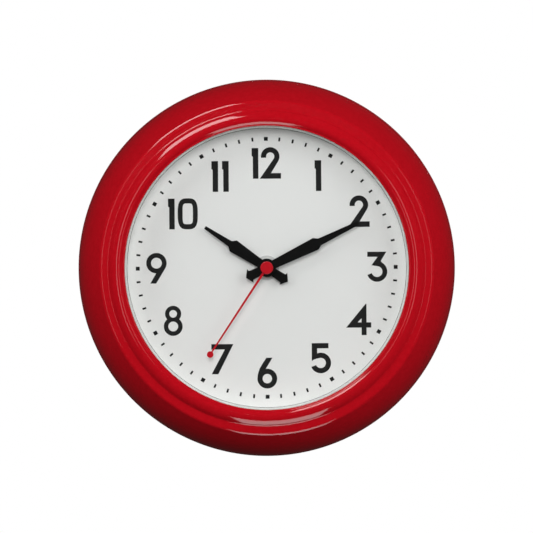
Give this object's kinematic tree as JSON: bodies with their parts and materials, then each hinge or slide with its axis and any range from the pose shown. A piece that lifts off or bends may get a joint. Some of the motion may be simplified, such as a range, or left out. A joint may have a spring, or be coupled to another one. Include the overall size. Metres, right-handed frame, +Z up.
{
  "type": "wall clock",
  "caption": "Round battery wall clock: gloss red domed metal case with raised bead, white dial, black spear hands, red second hand and a geared quartz movement.",
  "frame": {"origin": "where the hands' axis meets the wall plane, at the middle of the case's rear flange", "axes": "+Z up, +X to the right of someone facing the dial, dial faces -Y, wall behind at +Y"},
  "size_m": [0.24, 0.0403, 0.24],
  "materials": {
    "red_enamel": "high-gloss deep red stove enamel on spun steel",
    "bright_zinc": "zinc-plated steel",
    "black_moulding": "fine-grained black moulded ABS",
    "clear_glass": "clear flat float glass, polished",
    "black_rubber": "soft black rubber",
    "white_moulding": "smooth white moulded plastic",
    "dial_white": "satin white paint on aluminium sheet",
    "dial_ink": "matt black screen-printed ink",
    "chrome_ring": "polished nickel plate",
    "turned_brass": "turned brass",
    "black_movement": "black moulded movement case",
    "natural_acetal": "natural acetal gears",
    "black_hand": "matt black paint on pressed aluminium",
    "red_hand": "satin red paint on pressed aluminium",
    "magnet": "sintered magnet",
    "soft_iron": "soft iron lamination",
    "copper_wire": "enamelled copper wire",
    "green_board": "green solder mask on glass-fibre board",
    "black_resin": "black potting resin",
    "battery_sleeve": "shrink-sleeved cell"
  },
  "bodies": {
    "clock_case": {"case_shell": "red_enamel", "case_lugs": "bright_zinc", "back_cover": "black_moulding", "cover_screws": "bright_zinc", "lens": "clear_glass", "lens_seal": "black_rubber", "spacer_ring": "white_moulding", "dial": "dial_white", "cushion_washer": "black_rubber", "dial_washer": "chrome_ring", "dial_nut": "turned_brass", "mounting_sleeve": "turned_brass", "movement_housing": "black_movement", "movement_cover": "black_movement", "train_plate": "white_moulding", "stator": "soft_iron", "coil_core": "soft_iron", "core_screws": "bright_zinc", "coil_bobbin": "white_moulding", "coil_winding": "copper_wire", "circuit_board": "green_board", "quartz_crystal": "bright_zinc", "timing_chip": "black_resin", "contact_positive": "bright_zinc", "contact_negative": "bright_zinc"},
    "second_hand_arbor": {"second_wheel": "natural_acetal", "second_hand": "red_hand", "second_hand_cap": "red_hand"},
    "motor_rotor": {"rotor": "natural_acetal", "rotor_magnet": "magnet"},
    "step_gear": {"step_wheel": "natural_acetal"},
    "third_gear": {"third_wheel": "natural_acetal"},
    "minute_hand_arbor": {"centre_wheel": "natural_acetal", "minute_pipe": "turned_brass", "minute_hand": "black_hand"},
    "minute_gear": {"minute_wheel": "natural_acetal"},
    "hour_hand_arbor": {"hour_wheel": "natural_acetal", "hour_hand": "black_hand"},
    "setting_knob": {"set_knob": "white_moulding"},
    "battery_cell": {"battery": "battery_sleeve"}
  },
  "joints": [
    {"name": "second_hand_turn", "type": "hinge", "parent": "clock_case", "child": "second_hand_arbor", "pos_m": [0, 0, 0], "axis": [0, 1, 0], "continuous": true},
    {"name": "rotor_turn", "type": "hinge", "parent": "clock_case", "child": "motor_rotor", "pos_m": [0.0137, 0, 0.0122], "axis": [0, 1, 0], "continuous": true},
    {"name": "step_wheel_turn", "type": "hinge", "parent": "clock_case", "child": "step_gear", "pos_m": [0.00525, 0, 0.00909], "axis": [0, 1, 0], "continuous": true},
    {"name": "third_wheel_turn", "type": "hinge", "parent": "clock_case", "child": "third_gear", "pos_m": [-0.01015, 0, 0.00369], "axis": [0, 1, 0], "continuous": true},
    {"name": "minute_hand_turn", "type": "hinge", "parent": "clock_case", "child": "minute_hand_arbor", "pos_m": [0, 0, 0], "axis": [0, 1, 0], "continuous": true},
    {"name": "minute_wheel_turn", "type": "hinge", "parent": "clock_case", "child": "minute_gear", "pos_m": [0.00886, 0, -0.00156], "axis": [0, 1, 0], "continuous": true},
    {"name": "hour_hand_turn", "type": "hinge", "parent": "clock_case", "child": "hour_hand_arbor", "pos_m": [0, 0, 0], "axis": [0, 1, 0], "continuous": true},
    {"name": "setting_knob_turn", "type": "hinge", "parent": "clock_case", "child": "setting_knob", "pos_m": [0.01838, 0, 0.0019], "axis": [0, 1, 0], "continuous": true},
    {"name": "battery_lift", "type": "slide", "parent": "clock_case", "child": "battery_cell", "axis": [0, 1, 0], "range_m": [0, 0.02]}
  ],
  "couplings": [
    {"joint": "rotor_turn", "follows": "second_hand_turn", "ratio": 30},
    {"joint": "step_wheel_turn", "follows": "second_hand_turn", "ratio": -6},
    {"joint": "third_wheel_turn", "follows": "second_hand_turn", "ratio": -0.13333},
    {"joint": "minute_hand_turn", "follows": "second_hand_turn", "ratio": 0.016667},
    {"joint": "minute_wheel_turn", "follows": "second_hand_turn", "ratio": -0.0055556},
    {"joint": "hour_hand_turn", "follows": "second_hand_turn", "ratio": 0.0013889},
    {"joint": "setting_knob_turn", "follows": "second_hand_turn", "ratio": 0.011111}
  ]
}
